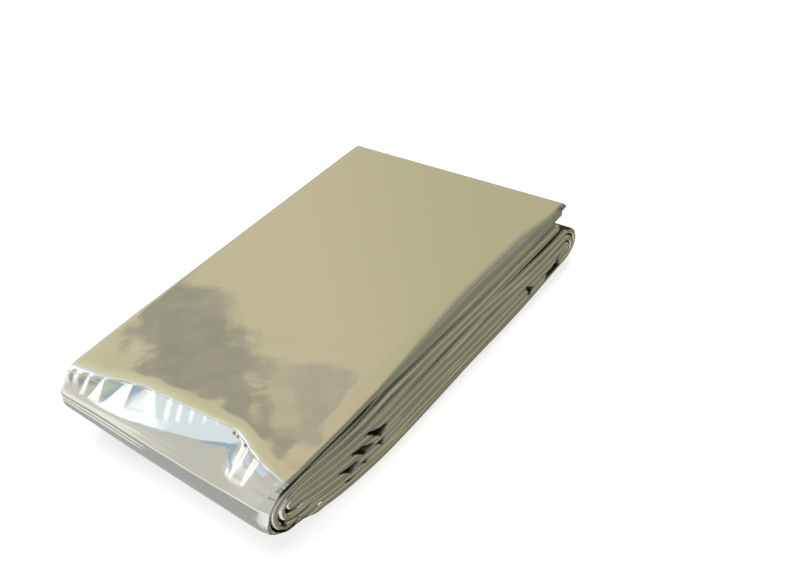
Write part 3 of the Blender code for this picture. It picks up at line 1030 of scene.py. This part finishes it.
# The dim patch: its near edge steps round with height, and above it a light belt crosses. It is olive
# and brown in turns, and lighter towards its right end.
NEAR_EDGE = 148.2
NEAR_STEPS = (Step(36.2, 33.8, 3.4), Step(40.2, 42.6, -7.4))
FAR_EDGE = 155.2
FAR_STEPS = (Step(37.1, 37.9, 1.5),)
BELT_START = 155.4
BELT_SLOPE = 0.7
BELT_STEPS = (Step(41.5, 46.0, -2.4),)
LIGHTER_SPOT = Spot(147.2, 43.2, 1.5, 1.7, 0.5)
LIGHTER_SPOT_SHARE = 0.7
ragged = world_math("ADD", world_noise(2.6, 5.0, 0.7), world_noise(0.9, 3.0, 0.25))
past_near = world_math("SUBTRACT", bearing, stepped(NEAR_EDGE, NEAR_STEPS))
past_far = world_math("SUBTRACT", bearing, stepped(FAR_EDGE, FAR_STEPS))
belt_line = stepped(slanted(BELT_START, BELT_SLOPE), BELT_STEPS)
lighter = world_math("MULTIPLY", world_spot(LIGHTER_SPOT), LIGHTER_SPOT_SHARE)
patch = world_math(
    "MULTIPLY",
    world_share(world_math("ADD", past_near, ragged), -0.5, 0.6),
    world_share(world_math("ADD", past_far, ragged), 0.4, -0.4),
    world_share(world_math("ADD", belt_line, world_math("MULTIPLY", ragged, 0.5)), 40.7, 39.8),
    world_share(elevation, 24.0, 29.0),
    world_share(world_noise(1.6, 6.0, 1.0), -2.0, -0.6),
    world_math("SUBTRACT", 1.0, lighter))
mottled = world_share(world_math("ADD", world_noise(1.5, 6.0, 1.0), world_noise(0.6, 3.0, 0.6)), -0.9, 0.9)
patch_colour = world_mix(mottled, DIM_OLIVE, DIM_BROWN)
end_colour = world_mix(mottled, DIM_BROWN, LIGHT_BROWN)
patch_colour = world_mix(world_share(bearing, 149.5, 146.0), patch_colour, end_colour)
walls = world_mix(patch, walls, patch_colour)
# Above the window, and lower the further round it is, the grey ceiling starts. It is darker towards
# the right, and has a blue place over the window.
CEILING_START = 190.0
CEILING_SLOPE = 0.75
BLUE_SPOT = Spot(204.4, 43.2, 4.8, 3.8, 0.1)
ceiling = world_math("MULTIPLY", world_share(slanted(CEILING_START, CEILING_SLOPE), 46.5, 50.5),
                     world_share(bearing, 172.0, 184.0))
ceiling_colour = world_mix(world_share(bearing, 216.0, 232.0), CEILING, DIM_CEILING)
dark_part = world_math("MULTIPLY", world_share(elevation, 36.0, 41.0), world_share(bearing, 233.0, 243.0))
ceiling_colour = world_mix(dark_part, ceiling_colour, DARK_CEILING)
high_part = world_math("MULTIPLY", world_share(elevation, 49.0, 55.0), world_share(bearing, 222.0, 214.0))
ceiling_colour = world_mix(high_part, ceiling_colour, ZENITH)
ceiling_colour = world_mix(world_spot(BLUE_SPOT), ceiling_colour, BLUE_PATCH)
walls = world_mix(ceiling, walls, ceiling_colour)
pale = world_math("MULTIPLY", world_share(elevation, 45.0, 48.5),
                  world_share(bearing, 168.0, 176.0), world_share(bearing, 198.0, 190.0))
walls = world_mix(pale, walls, PALE_WALL)
low_wall = world_math("MULTIPLY", world_share(elevation, 40.0, 22.0),
                      world_share(bearing, 209.0, 217.0), world_share(bearing, 238.0, 229.0))
walls = world_mix(low_wall, walls, LOW_WALL)
# Bright places to the right, on the wall and on the ground, and a grey one above.
WALL_GLINT = Spot(66.0, 18.0, 8.0, 5.0, 0.1)
GROUND_GLINT = Spot(74.0, -38.0, 7.0, 6.0, 0.1)
GREY_SPOT = Spot(79.0, 50.0, 8.0, 7.0, 0.4)
walls = world_mix(world_spot(WALL_GLINT), walls, GLINT)
walls = world_mix(world_spot(GREY_SPOT), walls, GREY_WALL)
ground = world_mix(world_spot(GROUND_GLINT), world_ramp(bearing, GROUND), GLINT)
# To the right the horizon's light reaches higher up, and in front it also reaches further down.
HORIZON_LIFT = 15.0
HORIZON_DROP = 9.0
lifted = world_math("MULTIPLY", world_share(bearing, 128.0, 96.0), HORIZON_LIFT)
above_light = world_math("SUBTRACT", elevation, lifted)
above = world_mix(world_share(above_light, 6.0, 18.0), world_ramp(bearing, HORIZON), walls)
zenith = world_mix(world_share(bearing, 150.0, 178.0), DARK_ZENITH, ZENITH)
above = world_mix(world_share(elevation, 58.0, 70.0), above, zenith)
dropped = world_math("MULTIPLY", world_share(bearing, 180.0, 195.0),
                     world_share(bearing, 262.0, 245.0), HORIZON_DROP)
below_light = world_math("ADD", elevation, dropped)
seen = world_mix(world_share(below_light, -9.0, -1.0), ground, above)
rays = world_nodes.new("ShaderNodeLightPath")
plain = world_mix(rays.outputs["Is Camera Ray"], seen, (1.0, 1.0, 1.0))
background = world_nodes.new("ShaderNodeBackground")
world_links.new(plain, background.inputs["Color"])
world_output = world_nodes.new("ShaderNodeOutputWorld")
world_links.new(background.outputs[0], world_output.inputs["Surface"])
bpy.context.scene.view_settings.view_transform = "Standard"

# The camera, close above the packet's front right corner and held with a slight tilt.
CAMERA_PLACE = Vector((0.16117, -0.12923, 0.1765))
CAMERA_AIM = Vector((0.01142, 0.01486, 0.012))
CAMERA_TILT = math.radians(-11.734)
CAMERA_LENS = 42.986
camera_data = bpy.data.cameras.new("camera")
camera_data.sensor_width = 36.0
camera_data.lens = CAMERA_LENS
camera_data.clip_start = 0.01
camera = bpy.data.objects.new("camera", camera_data)
camera.location = CAMERA_PLACE
level_view = (CAMERA_AIM - CAMERA_PLACE).to_track_quat("-Z", "Y")
camera.rotation_euler = (level_view @ Quaternion((0.0, 0.0, 1.0), CAMERA_TILT)).to_euler()
bpy.context.collection.objects.link(camera)
bpy.context.scene.camera = camera
